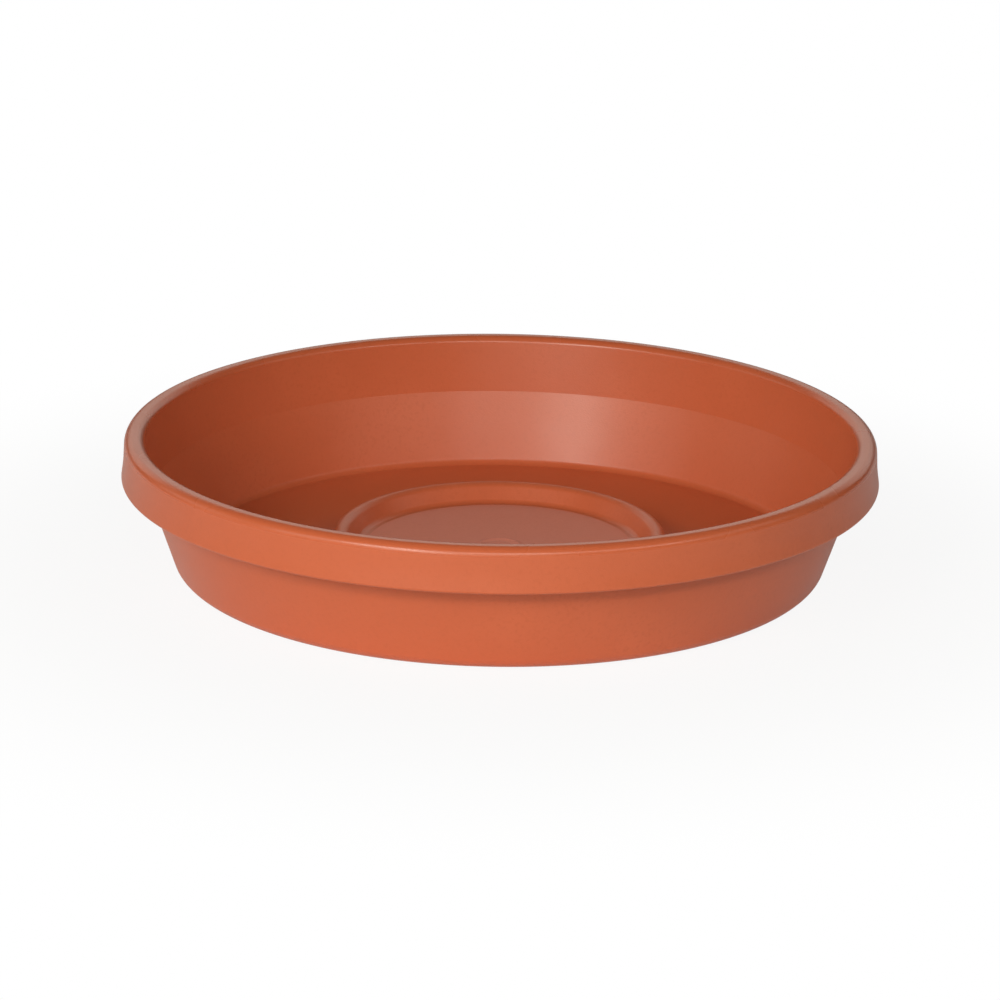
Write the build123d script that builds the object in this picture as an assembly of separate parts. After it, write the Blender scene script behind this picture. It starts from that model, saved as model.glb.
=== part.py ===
from build123d import *
import math
import os

# A round plant saucer, moulded in one piece: a thin shell turned about the Z axis.
# Sizes are in millimetres and leans in degrees. The origin is the middle of the underside,
# on the ground that the saucer stands on, and heights are measured up from that ground.

# Overall
rim_diameter = 405.8  # across the collar's lip before it is rounded, the widest place
saucer_height = 73.3  # ground to crown

# Skins: how thick the shell is
wall_skin = 2.3
collar_skin = 2.4
floor_skin = 2.2  # floor, ring and centre disc

# Rim: the crown, and the collar that hangs from it clear of the wall
collar_depth = 23.7  # crown down to the collar's lip
collar_lean = 2.8  # the collar widens downwards
flare_depth = 9.0  # the collar's lowest part, which leans out further
flare_lean = 8.5
flare_rounding = 60.0
crown_width = 10.3  # mouth face to collar face, across the crown
crown_outer_rounding = 4.8
crown_inner_rounding = 4.2
lip_outer_rounding_share = 0.62  # of collar_skin
lip_inner_rounding_share = 0.25  # of collar_skin
channel_rounding_share = 0.36  # of the channel's width under the crown

# Wall: it widens upwards, and its inner face turns steeper at a crease
mouth_lean = 9.9  # inner face above the crease
wall_lean = 18.7  # inner face below the crease, and the outer face
crease_depth = 31.1  # crown down to the crease
bend_cover = 2.5  # how far above the collar's lip the outer face bends, out of sight
foot_rounding = 8.4  # outside, where the wall meets the ground
floor_rounding = 4.6  # inside, where the wall meets the floor

# Ring: the raised bead that carries the pot, hollow underneath
ring_height = 18.6  # ground to the ring's crest
ring_crest_width = 5.9
ring_outer_lean = 15.0  # outer side, from upright
ring_inner_slope = 55.0  # inner side, from level
ring_outer_rounding = 4.0
ring_inner_rounding = 5.0
ring_foot_rounding = 1.5

# Centre disc, with the round mark of the gate, and the sprue's stub under it
disc_radius = 75.9
disc_height = 9.2  # ground to the disc's top
disc_edge_rounding = 4.0  # where it sweeps up into the ring
gate_mark_radius = 10.5  # to the mark's crest
gate_mark_width = 5.0
gate_mark_height = 0.8
gate_mark_rounding = 1.6
sprue_radius = 2.5
sprue_drop = 1.2
sprue_rounding = 0.4


def spread(height, lean):
    """How far out a face goes as it climbs by height, leaning by lean from upright."""
    return height * math.tan(math.radians(lean))


def across(skin, lean):
    """The level width of a skin that leans by lean from upright."""
    return skin / math.cos(math.radians(lean))


rim_radius = rim_diameter / 2
lip_height = saucer_height - collar_depth
lip_inner_radius = rim_radius - across(collar_skin, flare_lean)
flare_height = lip_height + flare_depth
flare_radius = rim_radius - spread(flare_depth, flare_lean)
crease_height = saucer_height - crease_depth
mouth_radius = flare_radius - spread(collar_depth - flare_depth, collar_lean) - crown_width
crease_radius = mouth_radius - spread(crease_depth, mouth_lean)
foot_radius = crease_radius + across(wall_skin, wall_lean) - spread(crease_height, wall_lean)
bend_height = lip_height + bend_cover
channel_height = saucer_height - collar_skin
ring_slope_lean = 90.0 - ring_inner_slope
crest_inner_radius = disc_radius + spread(ring_height - disc_height, ring_slope_lean)
crest_outer_radius = crest_inner_radius + ring_crest_width


def wall_face(height):
    """Outer face of the wall, from the ground to the bend."""
    return foot_radius + spread(height, wall_lean)


def mouth_face(height):
    """Inner face of the wall, from the crease to the crown."""
    return crease_radius + spread(height - crease_height, mouth_lean)


def collar_face(height):
    """Outer face of the collar, above its flare."""
    return flare_radius - spread(height - flare_height, collar_lean)


def ring_outer_face(height):
    return crest_outer_radius + spread(ring_height - height, ring_outer_lean)


def ring_inner_face(height):
    return crest_inner_radius - spread(ring_height - height, ring_slope_lean)


def upper_side():
    """Corners of the face that the water and the pot see, from the gate mark out to the crown."""
    gate_half = gate_mark_width / 2
    floor_edge = wall_face(floor_skin) - across(wall_skin, wall_lean)
    return [
        (gate_mark_radius - gate_half, disc_height, gate_mark_rounding),
        (gate_mark_radius, disc_height + gate_mark_height, gate_mark_rounding),
        (gate_mark_radius + gate_half, disc_height, gate_mark_rounding),
        (disc_radius, disc_height, disc_edge_rounding),
        (crest_inner_radius, ring_height, ring_inner_rounding),
        (crest_outer_radius, ring_height, ring_outer_rounding),
        (ring_outer_face(floor_skin), floor_skin, ring_foot_rounding),
        (floor_edge, floor_skin, floor_rounding),
        (crease_radius, crease_height, 0),
        (mouth_radius, saucer_height, crown_inner_rounding),
    ]


def collar_side():
    """Corners of the collar and of the channel behind it, from the crown round to the bend."""
    collar_step = across(collar_skin, collar_lean)
    channel_outer = collar_face(channel_height) - collar_step
    channel_inner = mouth_face(channel_height) + across(wall_skin, mouth_lean)
    channel_rounding = channel_rounding_share * (channel_outer - channel_inner)
    return [
        (collar_face(saucer_height), saucer_height, crown_outer_rounding),
        (flare_radius, flare_height, flare_rounding),
        (rim_radius, lip_height, lip_outer_rounding_share * collar_skin),
        (lip_inner_radius, lip_height, lip_inner_rounding_share * collar_skin),
        (flare_radius - collar_step, flare_height, flare_rounding + collar_skin),
        (channel_outer, channel_height, channel_rounding),
        (channel_inner, channel_height, channel_rounding),
        (wall_face(bend_height), bend_height, 0),
    ]


def under_side():
    """Corners of the face that looks at the ground, from the foot in to the sprue's stub."""
    hollow_height = ring_height - floor_skin
    disc_under = disc_height - floor_skin
    outer_step = across(floor_skin, ring_outer_lean)
    inner_step = across(floor_skin, ring_slope_lean)
    return [
        (foot_radius, 0, foot_rounding),
        (ring_outer_face(0) - outer_step, 0, ring_foot_rounding),
        (ring_outer_face(hollow_height) - outer_step, hollow_height, ring_outer_rounding - floor_skin),
        (ring_inner_face(hollow_height) + inner_step, hollow_height, ring_inner_rounding - floor_skin),
        (ring_inner_face(disc_under) + inner_step, disc_under, disc_edge_rounding + floor_skin),
        (sprue_radius, disc_under, sprue_rounding),
        (sprue_radius, disc_under - sprue_drop, sprue_rounding),
    ]


def make_saucer():
    """Turn the shell's section, half of a slice through the middle, about the Z axis."""
    corners = upper_side() + collar_side() + under_side()
    axis_ends = [(0, disc_height - floor_skin - sprue_drop), (0, disc_height)]
    points = [(radius, height) for radius, height, rounding in corners] + axis_ends
    roundings = [rounding for radius, height, rounding in corners] + [0, 0]
    with BuildPart() as saucer:
        with BuildSketch(Plane.XZ):
            with BuildLine():
                FilletPolyline(*points, radius=roundings, close=True)
            make_face()
        revolve(axis=Axis.Z)
    return saucer.part


os.makedirs("parts", exist_ok=True)
saucer = make_saucer()
saucer.label = "saucer"
export_step(saucer, "parts/saucer.step")

bounds = saucer.bounding_box()
print(f"saucer {bounds.size.X:.2f} x {bounds.size.Y:.2f} x {bounds.size.Z:.2f} mm")
print(f"mouth radius {mouth_radius:.2f}, crease radius {crease_radius:.2f}, foot radius {foot_radius:.2f}")
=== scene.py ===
import bpy
import bmesh
import math
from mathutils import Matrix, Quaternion, Vector


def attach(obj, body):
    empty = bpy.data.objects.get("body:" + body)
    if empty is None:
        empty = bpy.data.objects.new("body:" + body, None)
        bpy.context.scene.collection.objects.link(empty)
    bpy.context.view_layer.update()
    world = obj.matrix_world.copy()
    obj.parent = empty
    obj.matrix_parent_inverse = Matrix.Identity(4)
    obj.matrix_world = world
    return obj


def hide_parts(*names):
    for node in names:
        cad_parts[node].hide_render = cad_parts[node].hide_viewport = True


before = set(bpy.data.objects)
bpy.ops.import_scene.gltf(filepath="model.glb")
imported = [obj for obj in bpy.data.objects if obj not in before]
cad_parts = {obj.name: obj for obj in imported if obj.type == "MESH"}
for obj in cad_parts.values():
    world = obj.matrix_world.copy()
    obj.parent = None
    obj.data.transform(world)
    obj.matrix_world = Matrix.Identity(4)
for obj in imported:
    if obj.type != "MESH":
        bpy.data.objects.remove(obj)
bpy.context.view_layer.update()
scene = bpy.context.scene
mm = 0.001  # the section below is in millimetres, Blender works in metres
print("frame loaded:", len(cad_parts), "node")

# The shell: one moulding, turned from its section. Leans are degrees from upright.
shellShape = {
    "rimRadius": 202.9,  # to the collar's lip, before it is rounded
    "height": 73.3,
    "wallSkin": 2.3,
    "collarSkin": 2.4,
    "floorSkin": 2.2,
    "collarDepth": 23.7,
    "collarLean": 2.8,
    "flareDepth": 9.0,  # the collar's lowest part, which leans out further
    "flareLean": 8.5,
    "flareRounding": 60.0,
    "crownWidth": 10.3,
    "crownOuterRounding": 4.8,
    "crownInnerRounding": 4.2,
    "lipOuterRoundingShare": 0.62,  # of the collar's skin
    "lipInnerRoundingShare": 0.25,
    "channelRoundingShare": 0.36,  # of the gap behind the collar
    "mouthLean": 9.9,  # inner wall above the crease
    "wallLean": 18.7,  # and below it
    "creaseDepth": 31.1,
    "bendCover": 2.5,
    "footRounding": 8.4,
    "floorRounding": 4.6,
    "ringHeight": 18.6,
    "ringCrestWidth": 5.9,
    "ringOuterLean": 15.0,
    "ringInnerSlope": 55.0,
    "ringOuterRounding": 4.0,
    "ringInnerRounding": 5.0,
    "ringFootRounding": 1.5,
    "discRadius": 75.9,
    "discHeight": 9.2,
    "discEdgeRounding": 4.0,
    "mattAndPaintedSheenRadius": 72.0,  # how far out the disc is matt and carries the painted sheen of its paler, greyer colour
    "gateMarkRadius": 10.5,
    "gateMarkWidth": 5.0,
    "gateMarkHeight": 0.8,
    "gateMarkRounding": 1.6,
    "sprueRadius": 2.5,
    "sprueDrop": 1.2,
    "sprueRounding": 0.4,
    "degreesPerSegment": 6.0,  # of a rounded corner
    "turnSteps": 320,
    "doublesGap": 0.001,
    "discNormal": 0.5,  # the disc's faces look up more than this
    "mattAndPaintedSheenSlot": 1,
    "polishedSlot": 2,
}


def spread(height, lean):
    return height * math.tan(math.radians(lean))


def across(skin, lean):
    return skin / math.cos(math.radians(lean))


def upperSide(s):
    # what the pot and the water see, from the middle out to the crown
    top = s["height"]
    crease = top - s["creaseDepth"]
    disc = s["discHeight"]
    skin = s["floorSkin"]
    markR = s["gateMarkRadius"]
    markHalf = s["gateMarkWidth"] / 2
    footInside = s["creaseR"] - spread(crease - skin, s["wallLean"])
    return [
        (0, disc, 0),
        (markR - markHalf, disc, s["gateMarkRounding"]),
        (markR, disc + s["gateMarkHeight"], s["gateMarkRounding"]),
        (markR + markHalf, disc, s["gateMarkRounding"]),
        (s["mattAndPaintedSheenRadius"], disc, None),
        (s["discRadius"], disc, s["discEdgeRounding"]),
        (s["crestIn"], s["ringHeight"], s["ringInnerRounding"]),
        (s["crestOut"], s["ringHeight"], s["ringOuterRounding"]),
        (s["crestOut"] + spread(s["ringHeight"] - skin, s["ringOuterLean"]), skin, s["ringFootRounding"]),
        (footInside, skin, s["floorRounding"]),
        (s["creaseR"], crease, 0),
        (s["mouthR"], top, s["crownInnerRounding"]),
    ]


def collarSide(s):
    # down the collar, round its lip and up the gap behind it, as far as the wall's hidden bend
    top = s["height"]
    lip = top - s["collarDepth"]
    gapTop = top - s["collarSkin"]
    bend = lip + s["bendCover"]
    flare = lip + s["flareDepth"]
    collarWide = across(s["collarSkin"], s["collarLean"])
    bendR = s["footR"] + spread(bend, s["wallLean"])
    gapOut = s["flareR"] - spread(gapTop - flare, s["collarLean"]) - collarWide
    gapIn = s["mouthR"] - spread(s["collarSkin"], s["mouthLean"]) + across(s["wallSkin"], s["mouthLean"])
    gapRounding = s["channelRoundingShare"] * (gapOut - gapIn)
    return [
        (s["mouthR"] + s["crownWidth"], top, s["crownOuterRounding"]),
        (s["flareR"], flare, s["flareRounding"]),
        (s["rimRadius"], lip, s["lipOuterRoundingShare"] * s["collarSkin"]),
        (s["rimRadius"] - across(s["collarSkin"], s["flareLean"]), lip,
         s["lipInnerRoundingShare"] * s["collarSkin"]),
        (s["flareR"] - collarWide, flare, s["flareRounding"] + s["collarSkin"]),
        (gapOut, gapTop, gapRounding),
        (gapIn, gapTop, gapRounding),
        (bendR, bend, 0),
    ]


def underSide(s):
    # what looks at the ground, from the foot in to the sprue's stub
    skin = s["floorSkin"]
    hollow = s["ringHeight"] - skin
    discUnder = s["discHeight"] - skin
    outStep = across(skin, s["ringOuterLean"])
    inStep = across(skin, s["slopeLean"])
    return [
        (s["footR"], 0, s["footRounding"]),
        (s["crestOut"] + spread(s["ringHeight"], s["ringOuterLean"]) - outStep, 0, s["ringFootRounding"]),
        (s["crestOut"] + spread(skin, s["ringOuterLean"]) - outStep, hollow, s["ringOuterRounding"] - skin),
        (s["crestIn"] - spread(skin, s["slopeLean"]) + inStep, hollow, s["ringInnerRounding"] - skin),
        (s["crestIn"] - spread(s["ringHeight"] - discUnder, s["slopeLean"]) + inStep, discUnder,
         s["discEdgeRounding"] + skin),
        (s["sprueRadius"], discUnder, s["sprueRounding"]),
        (s["sprueRadius"], discUnder - s["sprueDrop"], s["sprueRounding"]),
        (0, discUnder - s["sprueDrop"], 0),
    ]


def shellSection(shape):
    # corners (radius, height, rounding) all the way round, from the axis back to the axis;
    # a rounding of none marks a change of finish on a flat face
    s = dict(shape)
    crease = s["height"] - s["creaseDepth"]
    s["slopeLean"] = 90.0 - s["ringInnerSlope"]
    s["flareR"] = s["rimRadius"] - spread(s["flareDepth"], s["flareLean"])
    s["mouthR"] = s["flareR"] - spread(s["collarDepth"] - s["flareDepth"], s["collarLean"]) - s["crownWidth"]
    s["creaseR"] = s["mouthR"] - spread(s["creaseDepth"], s["mouthLean"])
    s["footR"] = s["creaseR"] + across(s["wallSkin"], s["wallLean"]) - spread(crease, s["wallLean"])
    s["crestIn"] = s["discRadius"] + spread(s["ringHeight"] - s["discHeight"], s["slopeLean"])
    s["crestOut"] = s["crestIn"] + s["ringCrestWidth"]
    return upperSide(s) + collarSide(s) + underSide(s)


def roundCorner(bm, vert, radius, degreesPerSegment):
    a, b = [edge.other_vert(vert).co - vert.co for edge in vert.link_edges]
    turn = math.pi - a.angle(b)
    count = max(2, round(math.degrees(turn) / degreesPerSegment))
    bmesh.ops.bevel(bm, geom=[vert], offset=radius * math.tan(turn / 2), offset_type="OFFSET",
                    segments=count, profile=0.5, affect="VERTICES", material=-1)


def turnShell(s):
    bm = bmesh.new()
    corners = shellSection(s)
    verts = [bm.verts.new((r * mm, 0, h * mm)) for r, h, rounding in corners]
    for a, b in zip(verts, verts[1:]):
        bm.edges.new((a, b))
    creases = [vert.co.z for vert, (r, h, rounding) in zip(verts, corners) if r and rounding == 0]
    for vert, (r, h, rounding) in zip(verts, corners):
        if rounding:
            roundCorner(bm, vert, rounding * mm, s["degreesPerSegment"])
    bmesh.ops.spin(bm, geom=bm.verts[:] + bm.edges[:], cent=(0, 0, 0), axis=(0, 0, 1), dvec=(0, 0, 0),
                   angle=2 * math.pi, steps=s["turnSteps"], use_merge=True, use_duplicate=False)
    gap = s["doublesGap"] * mm
    bmesh.ops.remove_doubles(bm, verts=bm.verts[:], dist=gap)
    bmesh.ops.recalc_face_normals(bm, faces=bm.faces[:])
    for face in bm.faces:
        face.smooth = True
    for edge in bm.edges:  # only the wall's two bends stay sharp
        heights = [vert.co.z for vert in edge.verts]
        edge.smooth = not any(max(abs(z - level) for z in heights) < gap for level in creases)
    return bm


def splitFinishes(bm, s):
    # the mould was left rough at the centre disc and polished round the crown; the disc's paler, greyer
    # colour is painted sheen
    reach = s["mattAndPaintedSheenRadius"] * mm
    floorTop = s["floorSkin"] * mm
    crownFoot = (s["height"] - s["crownOuterRounding"]) * mm
    for face in bm.faces:
        middle = face.calc_center_median()
        if face.normal.z > s["discNormal"] and middle.z > floorTop and middle.xy.length < reach:
            face.material_index = s["mattAndPaintedSheenSlot"]
        if face.normal.z > 0 and middle.z > crownFoot:
            face.material_index = s["polishedSlot"]


def buildShell(s):
    bm = turnShell(s)
    splitFinishes(bm, s)
    mesh = bpy.data.meshes.new("saucerShell")
    bm.to_mesh(mesh)
    bm.free()
    piece = bpy.data.objects.new("saucerShell", mesh)
    scene.collection.objects.link(piece)
    even = piece.modifiers.new("evenNormals", "WEIGHTED_NORMAL")
    even.keep_sharp = True
    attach(piece, "root")
    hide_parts("saucer")
    print("saucer shell:", len(mesh.polygons), "faces")
    return piece


shell = buildShell(shellShape)

# The plastic's finishes. Lengths are in millimetres.
satinFinish = {
    "colour": (0.65, 0.1445, 0.0565, 1),
    "paleColour": (0.68, 0.157, 0.063, 1),
    "deepColour": (0.63, 0.139, 0.054, 1),
    "cloudSize": 60.0,
    "mottleSize": 2.2,
    "grainSize": 0.9,
    "fineSizeShare": 0.5,  # of the grain's size
    "fineShare": 0.4,
    "grainDepth": 0.07,
    "smoothest": 0.3,
    "roughest": 0.35,
}

# The centre disc's finish is really rough, but its colours are paled and greyed to paint the white sheen it
# shows at a grazing view.
mattFinishAndPaintedSheen = {
    "colour": (0.8, 0.265, 0.18, 1),
    "paleColour": (0.82, 0.28, 0.192, 1),
    "deepColour": (0.77, 0.248, 0.167, 1),
    "cloudSize": 30.0,
    "mottleSize": 1.6,
    "grainSize": 0.7,
    "fineSizeShare": 0.5,
    "fineShare": 0.5,
    "grainDepth": 0.05,
    "smoothest": 0.62,
    "roughest": 0.74,
}

polishedFinish = {
    **satinFinish,
    "grainDepth": 0.015,
    "smoothest": 0.25,
    "roughest": 0.29,
}

# How the noises are read, the same in every finish. A noise runs about the middle of 0 to 1.
noiseReading = {
    "grainDetail": 1.0,
    "cloudDetail": 3.0,
    "mottleDetail": 2.0,
    "middle": 0.5,
    "palest": 0.75,  # of the clouds
    "deepest": 0.25,  # of the mottle
    "smoothAt": 0.3,  # of the clouds
    "roughAt": 0.7,
}


def addNode(tree, kind, values=None, **settings):
    node = tree.nodes.new(kind)
    for name, value in settings.items():
        setattr(node, name, value)
    for name, value in (values or {}).items():
        node.inputs[name].default_value = value
    return node


def startGroup(name, inputs, outputs):
    group = bpy.data.node_groups.new(name, "ShaderNodeTree")
    for label, kind in inputs:
        group.interface.new_socket(label, in_out="INPUT", socket_type=kind)
    for label, kind in outputs:
        group.interface.new_socket(label, in_out="OUTPUT", socket_type=kind)
    return group, addNode(group, "NodeGroupInput"), addNode(group, "NodeGroupOutput")


def noiseBySize(group, vector, size, detail):
    # size is how wide one lump of the noise is, in millimetres
    scale = addNode(group, "ShaderNodeMath", operation="DIVIDE")
    scale.inputs[0].default_value = 1 / mm
    group.links.new(size, scale.inputs[1])
    noise = addNode(group, "ShaderNodeTexNoise", {"Detail": detail})
    group.links.new(vector, noise.inputs["Vector"])
    group.links.new(scale.outputs[0], noise.inputs["Scale"])
    return noise.outputs["Fac"]


def makeGrainGroup(reading):
    # the fine pitted grain that spark erosion leaves in a mould
    group, given, out = startGroup("mouldGrain", [
        ("Vector", "NodeSocketVector"),
        ("Grain Size", "NodeSocketFloat"),
        ("Fine Size", "NodeSocketFloat"),
        ("Fine Share", "NodeSocketFloat"),
    ], [("Height", "NodeSocketFloat")])
    detail = reading["grainDetail"]
    coarse = noiseBySize(group, given.outputs["Vector"], given.outputs["Grain Size"], detail)
    fine = noiseBySize(group, given.outputs["Vector"], given.outputs["Fine Size"], detail)
    blend = addNode(group, "ShaderNodeMix", data_type="FLOAT")
    group.links.new(given.outputs["Fine Share"], blend.inputs["Factor"])
    group.links.new(coarse, blend.inputs["A"])
    group.links.new(fine, blend.inputs["B"])
    group.links.new(blend.outputs["Result"], out.inputs["Height"])
    return group


def makePigmentGroup(reading):
    # cloudy patches where the pigment didn't mix evenly, with a finer mottle over them
    group, given, out = startGroup("pigmentClouds", [
        ("Vector", "NodeSocketVector"),
        ("Colour", "NodeSocketColor"),
        ("Pale Colour", "NodeSocketColor"),
        ("Deep Colour", "NodeSocketColor"),
        ("Cloud Size", "NodeSocketFloat"),
        ("Mottle Size", "NodeSocketFloat"),
    ], [("Colour", "NodeSocketColor"), ("Cloud", "NodeSocketFloat")])
    cloud = noiseBySize(group, given.outputs["Vector"], given.outputs["Cloud Size"],
                        reading["cloudDetail"])
    mottle = noiseBySize(group, given.outputs["Vector"], given.outputs["Mottle Size"],
                         reading["mottleDetail"])
    middle = reading["middle"]
    paler = addNode(group, "ShaderNodeMapRange", {"From Min": middle, "From Max": reading["palest"]})
    deeper = addNode(group, "ShaderNodeMapRange", {"From Min": middle, "From Max": reading["deepest"]})
    group.links.new(cloud, paler.inputs["Value"])
    group.links.new(mottle, deeper.inputs["Value"])
    lift = addNode(group, "ShaderNodeMix", data_type="RGBA")
    group.links.new(paler.outputs["Result"], lift.inputs["Factor"])
    group.links.new(given.outputs["Colour"], lift.inputs["A"])
    group.links.new(given.outputs["Pale Colour"], lift.inputs["B"])
    sink = addNode(group, "ShaderNodeMix", data_type="RGBA")
    group.links.new(deeper.outputs["Result"], sink.inputs["Factor"])
    group.links.new(lift.outputs["Result"], sink.inputs["A"])
    group.links.new(given.outputs["Deep Colour"], sink.inputs["B"])
    group.links.new(sink.outputs["Result"], out.inputs["Colour"])
    group.links.new(cloud, out.inputs["Cloud"])
    return group


def makePlastic(name, look, reading, pigment, grain):
    plastic = bpy.data.materials.new(name)
    plastic.use_nodes = True
    tree = plastic.node_tree
    shader = tree.nodes["Principled BSDF"]
    place = addNode(tree, "ShaderNodeTexCoord")
    clouds = addNode(tree, "ShaderNodeGroup", {
        "Colour": look["colour"],
        "Pale Colour": look["paleColour"],
        "Deep Colour": look["deepColour"],
        "Cloud Size": look["cloudSize"],
        "Mottle Size": look["mottleSize"],
    }, node_tree=pigment)
    pits = addNode(tree, "ShaderNodeGroup", {
        "Grain Size": look["grainSize"],
        "Fine Size": look["grainSize"] * look["fineSizeShare"],
        "Fine Share": look["fineShare"],
    }, node_tree=grain)
    tree.links.new(place.outputs["Object"], clouds.inputs["Vector"])
    tree.links.new(place.outputs["Object"], pits.inputs["Vector"])
    tree.links.new(clouds.outputs["Colour"], shader.inputs["Base Color"])
    gloss = addNode(tree, "ShaderNodeMapRange", {
        "From Min": reading["smoothAt"],
        "From Max": reading["roughAt"],
        "To Min": look["smoothest"],
        "To Max": look["roughest"],
    })
    tree.links.new(clouds.outputs["Cloud"], gloss.inputs["Value"])
    tree.links.new(gloss.outputs["Result"], shader.inputs["Roughness"])
    bump = addNode(tree, "ShaderNodeBump", {"Strength": 1.0, "Distance": look["grainDepth"] * mm})
    tree.links.new(pits.outputs["Height"], bump.inputs["Height"])
    tree.links.new(bump.outputs["Normal"], shader.inputs["Normal"])
    return plastic


pigmentClouds = makePigmentGroup(noiseReading)
mouldGrain = makeGrainGroup(noiseReading)
finishes = {  # in the order of the shell's material slots
    "satinTerracotta": satinFinish,
    "mattTerracottaAndPaintedSheen": mattFinishAndPaintedSheen,
    "polishedTerracotta": polishedFinish,
}
for name, look in finishes.items():
    shell.data.materials.append(makePlastic(name, look, noiseReading, pigmentClouds, mouldGrain))
print("finishes:", ", ".join(finishes))

# The studio: a white floor, and softboxes placed round the saucer. Lengths are in metres.
studio = {
    "floorSize": 12.0,
    "floorColour": (0.95, 0.95, 0.95, 1),
    "shadowRadius": 0.2,  # the shadow on the floor starts to fade here
    "whiteRadius": 0.45,  # and from here on the camera sees plain white
    "whiteShare": 0.9,  # of plain white in what the camera sees inside the shadow's radius
    "glossShare": 0.18,  # of plain white in what the plastic mirrors, all over the floor
    "lampColour": (1.0, 0.95, 0.86),
    "worldStrength": 0.02,
    "softboxReach": 2.4,  # how far they all stand from the saucer
    "softboxes": {
        # name: degrees left of the camera, degrees up, width, tallness, glow
        "keyLow": (22.0, 21.0, 0.72, 0.54, 6.5),
        "keyHigh": (34.0, 29.0, 0.9, 0.5, 10.0),
        "front": (-6.0, 30.0, 1.1, 0.3, 9.7),
        "fillRight": (-44.0, 31.0, 1.3, 0.3, 4.9),
        "fillLeft": (60.0, 22.0, 0.8, 0.9, 1.9),
        "low": (15.0, 12.0, 2.2, 0.3, 2.5),
        "sideLeft": (100.0, 20.0, 1.6, 0.8, 0.75),
        "sideRight": (-84.0, 34.0, 1.2, 0.6, 0.9),
        "backdrop": (180.0, 24.0, 4.5, 1.1, 1.0),
    },
}


def addFloor(plan):
    bm = bmesh.new()
    bmesh.ops.create_grid(bm, x_segments=1, y_segments=1, size=plan["floorSize"] / 2)
    mesh = bpy.data.meshes.new("floor")
    bm.to_mesh(mesh)
    bm.free()
    floor = bpy.data.objects.new("floor", mesh)
    scene.collection.objects.link(floor)
    paint = bpy.data.materials.new("whiteFloor")
    paint.use_nodes = True
    tree = paint.node_tree
    matt = tree.nodes["Principled BSDF"]
    matt.inputs["Base Color"].default_value = plan["floorColour"]
    matt.inputs["Roughness"].default_value = 1.0
    plain = addNode(tree, "ShaderNodeEmission", {"Color": (1, 1, 1, 1), "Strength": 1.0})
    seen = addNode(tree, "ShaderNodeLightPath")
    place = addNode(tree, "ShaderNodeTexCoord")
    away = addNode(tree, "ShaderNodeVectorMath", operation="LENGTH")
    fade = addNode(tree, "ShaderNodeMapRange", {
        "From Min": plan["shadowRadius"],
        "From Max": plan["whiteRadius"],
        "To Min": plan["whiteShare"],
        "To Max": 1.0,
    }, interpolation_type="SMOOTHSTEP")
    mirrored = addNode(tree, "ShaderNodeMath", operation="MULTIPLY")
    mirrored.inputs[1].default_value = plan["glossShare"]
    share = addNode(tree, "ShaderNodeMath", operation="MULTIPLY_ADD")
    mix = addNode(tree, "ShaderNodeMixShader")
    tree.links.new(place.outputs["Object"], away.inputs[0])
    tree.links.new(away.outputs["Value"], fade.inputs["Value"])
    tree.links.new(fade.outputs["Result"], share.inputs[1])
    tree.links.new(seen.outputs["Is Camera Ray"], share.inputs[0])
    tree.links.new(seen.outputs["Is Glossy Ray"], mirrored.inputs[0])
    tree.links.new(mirrored.outputs[0], share.inputs[2])
    tree.links.new(share.outputs[0], mix.inputs["Fac"])
    tree.links.new(matt.outputs["BSDF"], mix.inputs[1])
    tree.links.new(plain.outputs["Emission"], mix.inputs[2])
    tree.links.new(mix.outputs["Shader"], tree.nodes["Material Output"].inputs["Surface"])
    mesh.materials.append(paint)


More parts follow.
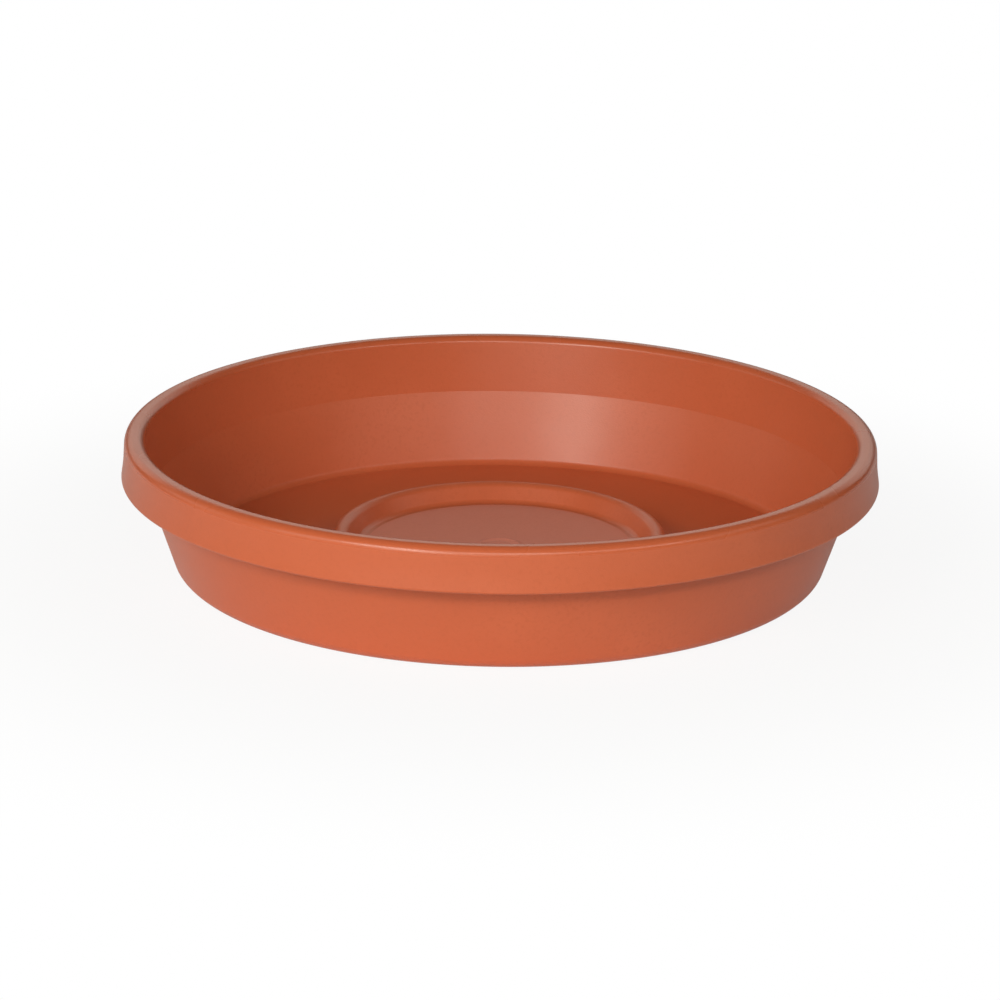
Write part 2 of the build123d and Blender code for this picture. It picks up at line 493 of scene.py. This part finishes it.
def addSoftbox(name, plan, turn, rise, width, tallness, glow):
    data = bpy.data.lights.new(name, "AREA")
    data.shape = "RECTANGLE"
    data.size = width
    data.size_y = tallness
    data.color = plan["lampColour"]
    data.energy = glow * math.pi * width * tallness
    lamp = bpy.data.objects.new(name, data)
    around, up = math.radians(turn), math.radians(rise)
    towards = Vector((-math.sin(around) * math.cos(up), -math.cos(around) * math.cos(up), math.sin(up)))
    lamp.location = towards * plan["softboxReach"]
    lamp.rotation_euler = towards.to_track_quat("Z", "Y").to_euler()
    lamp.visible_camera = False
    scene.collection.objects.link(lamp)


def addWorld(strength):
    world = bpy.data.worlds.new("studio")
    scene.world = world
    world.use_nodes = True
    tree = world.node_tree
    soft = tree.nodes["Background"]
    soft.inputs["Color"].default_value = (1, 1, 1, 1)
    soft.inputs["Strength"].default_value = strength
    white = addNode(tree, "ShaderNodeBackground", {"Color": (1, 1, 1, 1), "Strength": 1.0})
    seen = addNode(tree, "ShaderNodeLightPath")
    mix = addNode(tree, "ShaderNodeMixShader")
    tree.links.new(seen.outputs["Is Camera Ray"], mix.inputs["Fac"])
    tree.links.new(soft.outputs["Background"], mix.inputs[1])
    tree.links.new(white.outputs["Background"], mix.inputs[2])
    tree.links.new(mix.outputs["Shader"], tree.nodes["World Output"].inputs["Surface"])


addFloor(studio)
for name, facts in studio["softboxes"].items():
    addSoftbox(name, studio, *facts)
addWorld(studio["worldStrength"])
scene.view_settings.view_transform = "Standard"
print("studio:", len(studio["softboxes"]), "softboxes")

# The camera, from the photograph's outline of the rim. Angles are in degrees.
cameraPlan = {
    "aimHeight": 0.0344,
    "distance": 2.3129,
    "elevation": 17.579,
    "roll": 0.741,
    "lens": 154.77,
    "sensor": 36.0,
    "shiftX": 0.0001,
    "shiftY": 0.00055,
}


def addCamera(plan):
    data = bpy.data.cameras.new("camera")
    data.sensor_width = plan["sensor"]
    data.lens = plan["lens"]
    data.shift_x = plan["shiftX"]
    data.shift_y = plan["shiftY"]
    camera = bpy.data.objects.new("camera", data)
    rise = math.radians(plan["elevation"])
    towards = Vector((0, -math.cos(rise), math.sin(rise)))
    camera.location = towards * plan["distance"] + Vector((0, 0, plan["aimHeight"]))
    level = towards.to_track_quat("Z", "Y")
    camera.rotation_euler = (level @ Quaternion((0, 0, 1), math.radians(plan["roll"]))).to_euler()
    scene.collection.objects.link(camera)
    scene.camera = camera


addCamera(cameraPlan)
